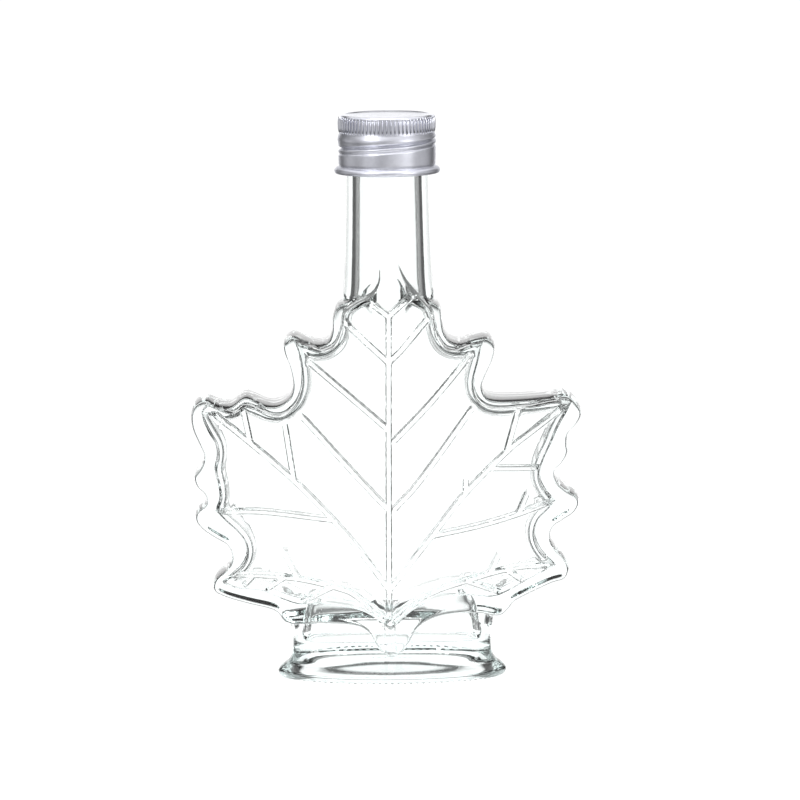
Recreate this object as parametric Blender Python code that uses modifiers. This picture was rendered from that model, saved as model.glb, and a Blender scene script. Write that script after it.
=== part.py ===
# A clear glass bottle in the shape of a maple leaf, with a turned-on aluminium cap.
# Metres, +Z up. The leaf's front faces -Y, and the origin is under the middle of its box.
import math

import bmesh
import bpy
from mathutils import Matrix, Vector

mm = 0.001

# The neck's axis stands this far from the middle of the leaf's width.
axisOffset = 0.9 * mm

# Leaf body
leafMiddle = Vector((0, 0, 52)) * mm
frontShelf = 7.4 * mm
wall = 2.6 * mm
shoulder = [(1, 0), (0.992, 0.5), (0.965, 0.84), (0.93, 1)]

# The back swells from the leaf's edge to a plain round cushion
pillowScales = [0.97, 0.9, 0.78, 0.55]
pillowPower = 4
cushionRadii = Vector((43, 14.5, 39)) * mm

# A line of points is smoothed where it turns more than this
sharpTurn = 0.85
smoothAngle = math.radians(35)
insetSlack = 0.95

# Raised leaf: its face lies on a flattened ball around the leaf's middle
ballRadii = Vector((58, 15.5, 70)) * mm
ballRim = 0.2
reliefRoot = 2 * mm
reliefEdge = 1.1 * mm
reliefScales = [0.97, 0.6]
veinRadius = 0.6 * mm
veinRise = 0.1 * mm
veinStep = 14 * mm

# Neck and finish, as (radius, height)
neckProfile = [(10.2, 139.7), (10.5, 139.2), (10.5, 136.4), (11.2, 135.6), (11.2, 134.4), (10.5, 133.6),
               (10.5, 127.6), (10.9, 126.0), (10.9, 125.0), (10.3, 124.2), (10.65, 112.0), (10.95, 103.0),
               (11.3, 97.0), (11.6, 86.0)]
boreProfile = [(7.3, 141.5), (7.3, 128.0), (7.6, 110.0), (7.9, 98.0), (8.6, 92.0), (8.6, 82.0)]
neckSides = 28

# Foot: half width, half depth and height of each oval
footOvals = [(26.9, 14.3, 0), (28.0, 15.6, 0.5), (28.6, 16.2, 1.9), (27.6, 15.0, 3.3), (25.9, 12.4, 4.6),
             (25.0, 10.4, 6.6), (24.9, 9.7, 9.5), (25.3, 9.9, 13.5), (23.0, 9.0, 20.0)]
footHollow = [(14.0, 3.2, 4.3), (19.5, 5.6, 4.9), (21.4, 6.9, 7.0), (21.6, 7.0, 13.0), (19.0, 6.4, 22.0)]
footRecess = [(22.0, 9.6, -1.0), (22.0, 9.6, 0.1), (18.5, 7.4, 0.6)]
footSides = 32

# Leaf stalk, as (half width at its root, depth, height)
stalkRings = [(2.3, 12.8, 3.0), (1.7, 12.3, 7.0), (1.7, 12.8, 11.0), (2.6, 13.4, 17.0)]
stalkTaper = 0.8

# Cap, as (radius, height)
capShell = [(11.3, 140.9), (11.9, 140.5), (12.0, 139.8), (12.0, 136.2), (11.75, 135.6), (12.2, 134.7),
            (12.2, 133.7), (11.8, 132.6), (12.1, 131.6), (12.1, 128.3), (12.5, 127.9), (13.2, 127.4),
            (13.1, 126.8), (12.6, 126.5)]
capHollow = [(11.5, 140.4), (11.5, 129.5), (12.1, 127.2), (12.1, 125.5)]
capSides = 36
knurlCount = 72
knurlSize = Vector((0.7, 0.52, 3.3)) * mm
knurlPlace = Vector((11.9, 0, 138)) * mm
beadRadius = 0.32 * mm
beadReach = 12.05 * mm
beadStart = math.radians(-200)
beadLow = 130.4 * mm
beadHigh = 133.0 * mm

# The leaf's outer edge, as (across, height): down the left, under the leaf, and up the right
leftEdge = [(-10.7, 94.9), (-12.9, 93.7), (-14.0, 91.0), (-14.3, 87.4), (-15.3, 85.2), (-17.4, 84.3),
            (-20.5, 85.3), (-23.8, 86.5), (-26.2, 84.7), (-26.1, 82.0), (-24.8, 78.6), (-24.1, 74.2),
            (-25.0, 71.2), (-27.6, 69.4), (-30.5, 69.4), (-35.7, 71.5), (-39.8, 69.2), (-42.7, 69.8),
            (-45.6, 70.9), (-48.3, 69.8), (-49.6, 67.0), (-49.2, 63.5), (-47.6, 59.6), (-46.4, 56.6),
            (-47.2, 54.2), (-48.9, 51.6), (-48.3, 49.0), (-46.4, 47.0), (-46.0, 45.0), (-48.2, 43.0),
            (-48.7, 40.6), (-46.8, 38.0), (-43.6, 35.8), (-40.8, 34.0), (-39.8, 31.2), (-41.1, 28.4),
            (-44.0, 25.8), (-44.4, 23.0), (-42.0, 21.2), (-36.0, 19.3), (-30.4, 17.9), (-28.4, 16.8),
            (-27.1, 15.0), (-25.0, 14.0)]
lowerEdge = [(-17.0, 14.3), (-11.0, 14.1), (-7.4, 13.1), (-5.4, 10.8), (-4.4, 7.0), (-3.8, 4.0),
             (3.8, 4.0), (4.2, 8.4), (5.4, 12.4), (8.6, 15.0), (14.0, 16.4), (21.0, 16.5)]
rightEdge = [(10.9, 94.8), (12.9, 93.2), (13.4, 90.0), (13.9, 87.2), (15.3, 85.1), (17.7, 84.3),
             (20.8, 85.3), (24.4, 85.7), (26.3, 83.6), (25.9, 80.2), (24.2, 76.4), (23.2, 73.4),
             (24.3, 70.9), (27.0, 70.1), (33.0, 70.2), (39.0, 70.7), (43.8, 71.3), (46.4, 69.4),
             (47.8, 66.6), (46.8, 64.0), (44.6, 61.6), (44.1, 59.2), (44.3, 56.6), (42.9, 54.0),
             (41.1, 52.2), (41.3, 50.0), (43.6, 47.8), (46.3, 46.0), (47.0, 43.8), (45.6, 41.4),
             (42.6, 39.4), (40.5, 37.9), (39.8, 35.4), (40.9, 32.9), (43.3, 30.2), (44.4, 27.4),
             (43.2, 24.8), (40.0, 23.7), (36.0, 21.9), (31.0, 19.4), (29.4, 17.6), (27.6, 15.9),
             (25.6, 15.6)]

# The raised leaf's edge, one stretch from each sharp tip to the next, all the way round
reliefStretches = [
    [(0.8, 107.5), (-1.9, 103.1), (-3.3, 97.8), (-6.0, 95.0), (-9.8, 93.8), (-11.7, 91.6), (-12.2, 88.0),
     (-13.6, 85.0), (-16.5, 83.6), (-19.8, 84.5), (-23.6, 85.8)],
    [(-23.6, 85.8), (-22.6, 82.8), (-21.8, 78.0), (-21.9, 74.0), (-23.4, 70.4), (-26.1, 68.0),
     (-29.2, 67.7), (-35.4, 70.1), (-39.0, 68.3), (-45.2, 70.2)],
    [(-45.2, 70.2), (-46.9, 68.2), (-46.5, 66.0), (-44.8, 62.6), (-43.2, 59.8), (-42.9, 57.0),
     (-43.5, 53.6), (-42.7, 49.6), (-42.4, 46.4), (-43.5, 43.3)],
    [(-43.5, 43.3), (-41.4, 40.9), (-38.6, 38.4), (-36.5, 35.8), (-35.9, 33.0), (-36.8, 30.2),
     (-39.2, 27.8), (-42.4, 25.2)],
    [(-42.4, 25.2), (-38.5, 23.7), (-32.0, 22.9), (-27.6, 21.2), (-22.6, 19.7), (-17.3, 20.0),
     (-9.6, 18.8), (-5.0, 17.0), (-0.3, 13.4)],
    [(-0.3, 13.4), (4.1, 17.4), (9.4, 20.3), (17.2, 21.7), (25.0, 21.2), (29.2, 22.6), (34.0, 25.2),
     (40.9, 28.7)],
    [(40.9, 28.7), (37.2, 32.8), (35.8, 36.6), (36.6, 40.2), (39.2, 42.8), (40.9, 44.9)],
    [(40.9, 44.9), (38.2, 48.2), (37.1, 51.6), (38.2, 55.4), (40.0, 59.2), (41.8, 63.4), (45.3, 69.6)],
    [(45.3, 69.6), (40.6, 70.1), (34.6, 69.2), (27.0, 68.7), (23.3, 69.8), (21.3, 72.6), (21.1, 75.9),
     (22.4, 80.8), (23.2, 85.0)],
    [(23.2, 85.0), (19.6, 84.3), (16.9, 83.4), (14.1, 84.1), (12.3, 86.8), (11.5, 90.0), (10.4, 93.0),
     (7.8, 95.3), (5.7, 98.4), (3.9, 102.4), (0.8, 107.5)],
]

# Veins, as (across, height) along each
midrib = [(0, 97), (-0.3, 62), (-0.5, 36), (-0.6, 14)]
lateralVeins = [
    [(-43.0, 67.2), (-34.6, 60.6), (-23.8, 51.3), (-14.3, 41.5), (-7.2, 33.0), (-0.6, 23.8)],
    [(44.0, 69.2), (35.4, 62.9), (28.9, 57.9), (18.7, 47.9), (10.6, 37.8), (-0.2, 24.1)],
    [(-40.0, 27.1), (-32.3, 27.4), (-21.9, 26.4), (-12.7, 24.1), (-8.3, 21.9), (-0.6, 14.9)],
    [(39.1, 29.0), (30.4, 28.7), (19.7, 26.1), (8.0, 21.9), (-0.3, 15.0)],
    [(-41.6, 43.3), (-33.3, 43.5), (-25.9, 42.9), (-14.5, 41.5)],
    [(39.4, 44.9), (31.5, 42.2), (22.0, 39.6), (11.0, 37.4)],
]
pairedVeins = [
    [(-3.6, 94.5), (-0.1, 91.8)], [(5.6, 96.8), (0, 91.8)],
    [(-10.6, 90.2), (-4.2, 84.2), (-0.2, 80.5)], [(9.2, 90.7), (3.2, 83.7), (-0.1, 80.5)],
    [(-19.3, 80.3), (-8.5, 71.0), (-0.4, 63.9)], [(20.0, 81.9), (10.5, 70.8), (1.2, 61.2)],
    [(-21.2, 66.7), (-8.0, 52.0), (-0.6, 44.0)], [(20.4, 68.8), (7.6, 51.4), (1.1, 44.2)],
]
twigVeins = [
    [(-36.1, 68.0), (-34.6, 60.6)], [(-25.9, 65.0), (-23.9, 51.3)], [(-26.3, 32.7), (-23.1, 26.6)],
    [(-34.3, 27.3), (-36.5, 24.9)], [(-26.8, 26.8), (-31.1, 23.9)], [(-14.6, 24.6), (-22.0, 20.9)],
    [(31.8, 68.0), (28.9, 57.9)], [(25.6, 53.9), (37.1, 53.6)], [(18.7, 51.0), (18.6, 47.8)],
    [(33.8, 47.2), (31.7, 42.3)], [(26.7, 32.1), (24.3, 27.4)], [(18.6, 25.8), (27.1, 22.6)],
    [(28.6, 28.4), (32.6, 25.4)],
]


def clearScene():
    for thing in list(bpy.data.objects):
        bpy.data.objects.remove(thing)


def addCollection(name, parent):
    made = bpy.data.collections.new(name)
    parent.children.link(made)
    return made


def makeMaterial(name, colour, metallic, roughness, transmission=0.0):
    made = bpy.data.materials.new(name)
    made.use_nodes = True
    shader = made.node_tree.nodes["Principled BSDF"]
    shader.inputs["Base Color"].default_value = (*colour, 1)
    shader.inputs["Metallic"].default_value = metallic
    shader.inputs["Roughness"].default_value = roughness
    shader.inputs["Transmission Weight"].default_value = transmission
    return made


def addObject(name, data, collection):
    """An object drawn about the neck's axis."""
    made = bpy.data.objects.new(name, data)
    collection.objects.link(made)
    made.parent = bpy.data.objects["neck_axis"]
    return made


# Outlines

def smoothStretch(points):
    """The points of a stretch, with one more on a smooth curve wherever the stretch turns a lot."""
    points = [Vector(point) for point in points]
    result = [points[0]]
    for i in range(len(points) - 1):
        before = points[max(i - 1, 0)]
        here = points[i]
        after = points[i + 1]
        beyond = points[min(i + 2, len(points) - 1)]
        turn = 0
        if i > 0:
            turn = max(turn, (here - before).angle(after - here))
        if i < len(points) - 2:
            turn = max(turn, (after - here).angle(beyond - after))
        if turn > sharpTurn:
            result.append((9 * (here + after) - before - beyond) / 16)
        result.append(after)
    return result


def outlineOf(stretches):
    """A closed outline in the leaf's plane from stretches that meet end to end."""
    flat = []
    for stretch in stretches:
        flat += smoothStretch(stretch)[:-1]
    return [Vector((point.x, 0, point.y)) * mm for point in flat]


def distanceToOutline(point, outline):
    best = math.inf
    for i, start in enumerate(outline):
        along = outline[i - 1] - start
        share = min(1, max(0, (point - start).dot(along) / along.length_squared))
        best = min(best, (point - start - share * along).length)
    return best


def insetOutline(outline, distance):
    """The outline moved inwards, less the points that come too near to it or turn back round the middle."""
    kept = []
    count = len(outline)
    for i, point in enumerate(outline):
        along = (outline[(i + 1) % count] - outline[i - 1]).normalized()
        moved = point + distance * Vector((-along.z, 0, along.x))
        if distanceToOutline(moved, outline) < insetSlack * distance:
            continue
        if not kept or (moved - leafMiddle).cross(kept[-1] - leafMiddle).y > 0:
            kept.append(moved)
    return kept


def scaled(outline, share, depth=0.0):
    """The outline drawn in towards the leaf's middle and set back by a depth."""
    return [leafMiddle + share * (point - leafMiddle) + Vector((0, depth, 0)) for point in outline]


def ballDepth(point, shrink=0.0):
    across = point.x / ballRadii.x
    up = (point.z - leafMiddle.z) / ballRadii.z
    return ballRadii.y * math.sqrt(max(ballRim ** 2, 1 - across ** 2 - up ** 2)) - shrink


def onBall(outline, shrink=0.0):
    return [Vector((point.x, -ballDepth(point, shrink), point.z)) for point in outline]


def towardsCushion(outline, share, inset):
    """The outline drawn in by a share and, the further in, the nearer to a plain oval."""
    blend = (1 - share) / (1 - pillowScales[-1])
    ring = []
    for point in outline:
        away = point - leafMiddle
        reach = 1 / math.hypot(away.x / (cushionRadii.x - inset), away.z / (cushionRadii.z - inset))
        ring.append(leafMiddle + share * (1 - blend + blend * reach) * away)
    return ring


def oval(halfWidth, halfDepth, height):
    turns = [2 * math.pi * i / footSides for i in range(footSides)]
    return [Vector((halfWidth * math.cos(turn), halfDepth * math.sin(turn), height)) * mm for turn in turns]


# Solids

def loft(name, rings, collection):
    """A closed solid through rings with the same number of points. A ring of one point is a tip."""
    shape = bmesh.new()
    rows = [[shape.verts.new(point) for point in ring] for ring in rings]
    for lower, upper in zip(rows, rows[1:]):
        count = len(lower)
        for i in range(count):
            j = (i + 1) % count
            if len(upper) == 1:
                shape.faces.new((lower[i], lower[j], upper[0]))
            else:
                shape.faces.new((lower[i], lower[j], upper[j], upper[i]))
    for row in (rows[0], rows[-1]):
        if len(row) > 1:
            shape.faces.new(row)
    bmesh.ops.recalc_face_normals(shape, faces=shape.faces)
    mesh = bpy.data.meshes.new(name)
    shape.to_mesh(mesh)
    shape.free()
    return addObject(name, mesh, collection)


def turned(name, profile, sides, collection):
    """A solid turned about Z from a profile that runs from top to bottom."""
    points = [(0, profile[0][1])] + profile + [(0, profile[-1][1])]
    mesh = bpy.data.meshes.new(name)
    edges = [(i, i + 1) for i in range(len(points) - 1)]
    mesh.from_pydata([Vector((x, 0, z)) * mm for x, z in points], edges, [])
    made = addObject(name, mesh, collection)
    screw = made.modifiers.new("Turn", "SCREW")
    screw.steps = sides
    screw.render_steps = sides
    screw.use_merge_vertices = True
    screw.merge_threshold = 0.00001
    return made


def tube(name, points, radius, collection):
    """A thin round bar along the points, as a closed mesh."""
    curve = bpy.data.curves.new(name, "CURVE")
    curve.dimensions = "3D"
    curve.bevel_depth = radius
    curve.bevel_resolution = 0
    curve.use_fill_caps = True
    spline = curve.splines.new("POLY")
    spline.points.add(len(points) - 1)
    for target, point in zip(spline.points, points):
        target.co = (*point, 1)
    guide = addObject(name + "_guide", curve, collection)
    bpy.context.view_layer.update()
    mesh = bpy.data.meshes.new_from_object(guide.evaluated_get(bpy.context.evaluated_depsgraph_get()))
    bpy.data.objects.remove(guide)
    shape = bmesh.new()
    shape.from_mesh(mesh)
    bmesh.ops.remove_doubles(shape, verts=shape.verts, dist=0.00001)
    shape.to_mesh(mesh)
    shape.free()
    return addObject(name, mesh, collection)


def combine(target, operation, collection):
    """Joins everything in a collection to the target, or cuts it from the target."""
    collection.hide_render = True
    for helper in collection.objects:
        helper.hide_render = True
        helper.display_type = "WIRE"
    step = target.modifiers.new(collection.name, "BOOLEAN")
    step.operation = operation
    step.operand_type = "COLLECTION"
    step.collection = collection
    step.solver = "EXACT"


def finishPart(part, material):
    part.data.materials.append(material)
    part.data.shade_smooth()
    part.data.set_sharp_from_angle(angle=smoothAngle)


# The bottle

def bodyRings(outline, inset):
    """Rings from the flat front shelf round the edge to the middle of the cushioned back."""
    rings = [scaled(outline, share, -rise * (frontShelf - inset)) for share, rise in reversed(shoulder)]
    for share in pillowScales:
        back = Vector((0, (cushionRadii.y - inset) * math.sqrt(1 - share ** pillowPower), 0))
        rings.append([point + back for point in towardsCushion(outline, share, inset)])
    rings.append([leafMiddle + Vector((0, cushionRadii.y - inset, 0))])
    return rings


def reliefRings(outline, shrink):
    """Rings up the raised leaf's side and over its domed face."""
    root = scaled(outline, 1, -reliefRoot)
    edge = onBall(outline, shrink + reliefEdge)
    face = [onBall(scaled(outline, share), shrink) for share in reliefScales]
    return [root, edge] + face + [onBall([leafMiddle], shrink)]


def surfaceLine(points):
    """A vein's points on the raised leaf's face, with more between them so that it follows the face."""
    flat = [Vector((x, 0, z)) * mm for x, z in points]
    line = [flat[0]]
    for start, end in zip(flat, flat[1:]):
        parts = max(1, round((end - start).length / veinStep))
        line += [start.lerp(end, i / parts) for i in range(1, parts + 1)]
    return [Vector((point.x, -ballDepth(point, -veinRise), point.z)) for point in line]


def stalkLoft():
    rings = []
    for half, depth, height in stalkRings:
        corners = [(-half, 0), (-stalkTaper * half, -depth), (stalkTaper * half, -depth), (half, 0)]
        rings.append([Vector((x, y, height)) * mm for x, y in corners])
    return rings


def makeBottle(parts, helpers):
    edge = outlineOf([leftEdge + lowerEdge + rightEdge[::-1] + leftEdge[:1]])
    relief = outlineOf(reliefStretches)
    bottle = loft("bottle", bodyRings(edge, 0), parts)

    outer = addCollection("outer_shapes", helpers)
    loft("raised_leaf", reliefRings(relief, 0), outer)
    loft("stalk", stalkLoft(), outer)
    loft("foot", [oval(*ring) for ring in footOvals], outer)
    turned("neck", neckProfile, neckSides, outer)

    veins = addCollection("veins", helpers)
    for i, points in enumerate([midrib] + lateralVeins + pairedVeins + twigVeins):
        tube(f"vein_{i}", surfaceLine(points), veinRadius, veins)

    hollow = addCollection("hollow", helpers)
    inside = loft("inside", bodyRings(insetOutline(edge, wall), wall), hollow)
    more = addCollection("inside_shapes", helpers)
    loft("raised_inside", reliefRings(insetOutline(relief, wall), wall), more)
    loft("foot_inside", [oval(*ring) for ring in footHollow], more)
    turned("bore", boreProfile, neckSides, more)
    recess = addCollection("recess", helpers)
    loft("foot_recess", [oval(*ring) for ring in footRecess], recess)

    combine(inside, "UNION", more)
    combine(bottle, "UNION", outer)
    combine(bottle, "UNION", veins)
    combine(bottle, "DIFFERENCE", hollow)
    combine(bottle, "DIFFERENCE", recess)
    finishPart(bottle, makeMaterial("clear_glass", (0.97, 0.985, 0.98), 0, 0.02, 1.0))


# The cap

def makeKnurl(collection):
    """Upright ribs round the top of the cap."""
    shape = bmesh.new()
    for i in range(knurlCount):
        turn = Matrix.Rotation(2 * math.pi * i / knurlCount, 4, "Z")
        size = Matrix.Diagonal((*knurlSize, 1))
        bmesh.ops.create_cube(shape, size=1, matrix=turn @ Matrix.Translation(knurlPlace) @ size)
    mesh = bpy.data.meshes.new("ribs")
    shape.to_mesh(mesh)
    shape.free()
    addObject("ribs", mesh, collection)


def makeCap(parts, helpers):
    cap = turned("cap", capShell, capSides, parts)
    ribs = addCollection("knurl", helpers)
    makeKnurl(ribs)
    bead = addCollection("thread_bead", helpers)
    line = []
    for i in range(capSides + 1):
        turn = beadStart + 2 * math.pi * i / capSides
        height = beadLow + (beadHigh - beadLow) * i / capSides
        line.append(Vector((beadReach * math.cos(turn), beadReach * math.sin(turn), height)))
    tube("bead", line, beadRadius, bead)
    hollow = addCollection("cap_hollow", helpers)
    turned("cap_bore", capHollow, capSides, hollow)
    combine(cap, "UNION", ribs)
    combine(cap, "UNION", bead)
    combine(cap, "DIFFERENCE", hollow)
    finishPart(cap, makeMaterial("aluminium", (0.78, 0.78, 0.8), 1, 0.3))


clearScene()
root = bpy.context.scene.collection
neckAxis = bpy.data.objects.new("neck_axis", None)
neckAxis.location.x = axisOffset
root.objects.link(neckAxis)
partCollection = addCollection("maple_leaf_bottle", root)
helperCollection = addCollection("cutters", root)
helperCollection.hide_render = True
makeBottle(partCollection, helperCollection)
makeCap(partCollection, helperCollection)
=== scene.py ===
import math

import bmesh
import bpy
import numpy as np
from mathutils import Matrix, Vector, geometry


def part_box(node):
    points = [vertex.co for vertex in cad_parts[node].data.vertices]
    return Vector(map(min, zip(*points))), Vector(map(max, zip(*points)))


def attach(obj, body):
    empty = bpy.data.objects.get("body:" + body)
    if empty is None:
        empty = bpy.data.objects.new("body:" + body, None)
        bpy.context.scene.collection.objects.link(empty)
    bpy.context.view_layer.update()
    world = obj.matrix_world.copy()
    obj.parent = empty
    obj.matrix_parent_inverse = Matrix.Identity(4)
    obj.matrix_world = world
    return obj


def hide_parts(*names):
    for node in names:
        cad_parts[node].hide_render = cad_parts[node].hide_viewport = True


# A clear glass bottle in the shape of a maple leaf, with a ribbed aluminium screw cap.
# Sizes are in millimetres about the neck's axis: x across the leaf, z up, and y towards the back.
# Materials, the floor, lamps and camera are in metres.

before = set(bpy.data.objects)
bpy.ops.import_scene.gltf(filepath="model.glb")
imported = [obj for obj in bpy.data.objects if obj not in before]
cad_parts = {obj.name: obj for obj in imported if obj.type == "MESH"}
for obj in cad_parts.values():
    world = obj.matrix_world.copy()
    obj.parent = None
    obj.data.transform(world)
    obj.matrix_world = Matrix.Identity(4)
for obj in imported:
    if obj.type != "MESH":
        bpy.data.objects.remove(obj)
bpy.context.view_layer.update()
capLow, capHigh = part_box("cap")

mm = 0.001
neckAxis = 1000 * (capLow.x + capHigh.x) / 2  # the neck stands beside the middle of the leaf
print("frame loaded")

tiny = 1e-9      # keeps a division from having nothing under it
batch = 2000     # points worked on at once


# Points at an even spacing on a smooth curve through the given ones.
def smoothLine(points, spacing, closed=False):
    points = [np.array(point, float) for point in points]
    count = len(points)
    spans = count if closed else count - 1
    line = []
    for i in range(spans):
        here = points[i]
        there = points[(i + 1) % count]
        before = points[i - 1] if closed or i > 0 else 2 * here - there
        after = points[(i + 2) % count] if closed or i + 2 < count else 2 * there - here
        steps = max(1, round(float(np.linalg.norm(there - here)) / spacing))
        for t in np.arange(steps) / steps:
            line.append(0.5 * (2 * here + (there - before) * t
                               + (2 * before - 5 * here + 4 * there - after) * t * t
                               + (3 * here - before - 3 * there + after) * t ** 3))
    if not closed:
        line.append(points[-1])
    return np.array(line)


# How far each point is from the nearest of the lines.
def distanceTo(points, lines, closed=False):
    starts = []
    ends = []
    for line in lines:
        starts.append(line if closed else line[:-1])
        ends.append(np.roll(line, -1, 0) if closed else line[1:])
    starts = np.concatenate(starts)
    along = np.concatenate(ends) - starts
    length = np.maximum((along ** 2).sum(1), tiny)
    best = np.empty(len(points))
    for first in range(0, len(points), batch):
        away = points[first:first + batch, None, :] - starts[None]
        share = np.clip((away * along).sum(2) / length, 0, 1)
        gap = away - share[..., None] * along
        best[first:first + batch] = np.sqrt((gap ** 2).sum(2).min(1))
    return best


# True for each point that lies inside a closed outline.
def isInside(points, outline):
    x0, z0 = outline[:, 0], outline[:, 1]
    x1, z1 = np.roll(x0, -1), np.roll(z0, -1)
    rise = np.where(np.abs(z1 - z0) < tiny, tiny, z1 - z0)
    result = np.zeros(len(points), bool)
    for first in range(0, len(points), batch):
        x = points[first:first + batch, 0, None]
        z = points[first:first + batch, 1, None]
        crosses = ((z0 <= z) != (z1 <= z)) & (x < x0 + (z - z0) * (x1 - x0) / rise)
        result[first:first + batch] = crosses.sum(1) % 2 == 1
    return result


# True for each point that lies inside any of the closed outlines.
def insideAny(points, loops):
    result = np.zeros(len(points), bool)
    for loop in loops:
        result |= isInside(points, loop)
    return result


# How far each point is inside a closed outline, negative outside it.
def depthInside(points, outline):
    return distanceTo(points, [outline], True) * np.where(isInside(points, outline), 1, -1)


# Rows of points at fixed distances beside a line, without those that come nearer to another stretch of it.
def rowsBeside(line, offsets, closed=False):
    clearShare = 0.97  # of its offset, which a point has to keep from the whole line
    ahead = np.roll(line, -1, 0) - np.roll(line, 1, 0)
    if not closed:
        ahead[0] = line[1] - line[0]
        ahead[-1] = line[-1] - line[-2]
    side = np.stack([-ahead[:, 1], ahead[:, 0]], 1) / np.linalg.norm(ahead, axis=1)[:, None]
    rows = []
    for offset in offsets:
        moved = line + offset * side
        good = distanceTo(moved, [line], closed) > clearShare * abs(offset)
        rows.append((moved, good, closed))
    return rows


# A quarter round: 0 at the edge, rising straight up and levelling out at 1.
def rim(share):
    return np.sqrt(1 - (1 - np.clip(share, 0, 1)) ** 2)


# 0 up to the start and 1 from a width further on, smooth between; a negative width runs the other way
def ease(value, start=0, width=1):
    share = np.clip((value - start) / width, 0, 1)
    return share * share * (3 - 2 * share)


# The larger of two heights, with a fillet where they meet.
def smoothMax(a, b, blend):
    return np.maximum(a, b) + np.maximum(0, 1 - np.abs(a - b) / blend) ** 2 * blend / 4


# A size read from (size, height) pairs at the heights z.
def heightAt(profile, z):
    pairs = np.array(sorted(profile, key=lambda pair: pair[1]))
    return np.interp(z, pairs[:, 1], pairs[:, 0])


bottle = {
    # A pair for a smooth change holds its start and its width, which is negative where it runs down or in
    "middle": (0, 52),       # of the cushions that shape the face and the back
    "shelfDepth": 8.0,       # from the leaf's plane to the flat band round the raised leaf
    "shelfRound": (0.6, 1.0, 1.0),     # width of the upright wall, width and drop of the round above it
    "chinDepth": 3.2,        # how far the band bulges forwards under the raised leaf
    "chinTop": (34, -14),
    "chinSide": (28, -16),
    "faceBall": (58, 15.45, 75),       # half width, depth and half height of the face's cushion
    "faceStep": (-0.05, 0.25),         # the raised leaf's side
    "faceBevel": (0.2, 0.45, 0.75),    # start, width and rise of the slope along its top
    "backBall": (62, 14.5, 59),
    "backRound": (0.4, 0.9, 0.8),
    "backStem": (7, 14, 1.2),          # greatest depth up to a height, and its gain for each millimetre above
    "leastBall": 0.04,       # keeps the cushions from running out near their rims
    "wall": 2.6,
    "leastWall": 2.7,        # at the sides, where the raised leaf comes near the outer edge
    "leastGlass": 1.2,       # from the hollow to the outside, anywhere
    "hollowIn": 1.5,         # from the raised leaf's edge to the hollow
    "hollowTop": 95,
    "hollowRound": (0.3, 1.1, 0.8),
    "hollowLeast": 2,        # depth of the hollow at its shallowest
    "hollowLess": 3.5,       # how much shallower it gets towards the neck
    "hollowNeck": (78, 16),
    "boreBlend": 2.0,
    "hollowBlend": 3.0,
    "veinHalf": 0.88,
    "veinFlank": 0.45,
    "veinHeight": 0.72,
    "veinStart": (0.2, 1.5),           # inwards from the raised leaf's edge
    "stalkHalf": 1.6,
    "stalkFlank": 0.65,
    "stalkHeight": 1.1,
    "stalkTop": (16, -2.5),
    "stalkFoot": (6.0, 2.5),
    "neckTop": 139.7,
    "tubeFrom": 84,          # the neck and its bore have outlines of their own from here up
    "neckBlend": 1.5,
    "footBlend": 1.2,
    "footSquare": 1.5,       # how much squarer than an oval the waist is
    "footWaist": (3, 4),
    "soleHeight": 0.45,      # the bottle stands on a ring of small marks under the sole
}

# Radii or half widths and depths, each with its height
neckProfile = [(10.2, 139.7), (10.4, 139.2), (10.4, 127.6), (10.42, 124.2), (10.5, 119.0), (10.65, 112.0),
               (10.95, 103.0), (11.3, 97.0), (11.6, 90.0), (11.4, 84.0), (9.8, 77.0), (8.0, 72.0)]
boreProfile = [(7.3, 140.0), (7.3, 128.0), (7.6, 110.0), (7.9, 98.0), (8.6, 92.0), (8.8, 84.0), (7.6, 77.0),
               (6.0, 72.0)]
footWidths = [(26.9, 0), (28.0, 0.5), (28.6, 1.9), (27.6, 3.3), (25.9, 4.6), (25.0, 6.6), (24.8, 9.5),
              (25.2, 13.5), (26.0, 20.0)]
footDepths = [(14.3, 0), (15.6, 0.5), (16.15, 1.9), (15.0, 3.3), (12.4, 4.6), (10.0, 6.6), (9.0, 9.5),
              (8.6, 13.5), (8.0, 20.0)]
hollowWidths = [(16.0, 8.6), (19.6, 8.8), (21.0, 9.6), (21.6, 11.5), (21.2, 15.0), (20.0, 19.0),
                (17.0, 24.0)]
hollowDepths = [(0, 8.6), (4.0, 8.8), (5.6, 9.6), (6.2, 12.0), (5.65, 15.0), (4.85, 18.0), (4.0, 21.0),
                (3.2, 24.0)]

# Half widths, half depths and heights of the rings of the sole, which is nearly flat
soleRings = [(26.6, 14.0, 0.45), (24.4, 12.0, 0.45), (24.2, 11.8, 0.45), (23.6, 11.3, 0.53),
             (23.4, 11.1, 0.53)]

# The leaf's outer edge: down the left, rightwards under the leaf, down the right, and over the neck
leftEdge = [(-10.7, 94.9), (-12.9, 93.7), (-14.0, 91.0), (-14.3, 87.4), (-15.3, 85.2), (-17.4, 84.3),
            (-20.5, 85.3), (-23.8, 86.5), (-26.2, 84.7), (-26.1, 82.0), (-24.8, 78.6), (-24.1, 74.2),
            (-25.0, 71.2), (-27.6, 69.4), (-30.5, 69.4), (-35.7, 71.5), (-39.8, 69.2), (-42.7, 69.8),
            (-45.6, 70.9), (-48.3, 69.8), (-49.5, 67.0), (-49.2, 63.5), (-47.6, 59.6), (-46.4, 56.6),
            (-47.2, 54.2), (-48.9, 51.6), (-48.3, 49.0), (-46.4, 47.0), (-46.0, 45.0), (-48.2, 43.0),
            (-48.7, 40.6), (-46.8, 38.0), (-43.6, 35.8), (-40.8, 34.0), (-39.8, 31.2), (-41.1, 28.4),
            (-44.0, 25.8), (-44.4, 23.0), (-42.0, 21.2), (-36.0, 19.3), (-30.4, 17.9), (-28.4, 16.8),
            (-27.1, 15.0), (-25.0, 14.0)]
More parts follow.
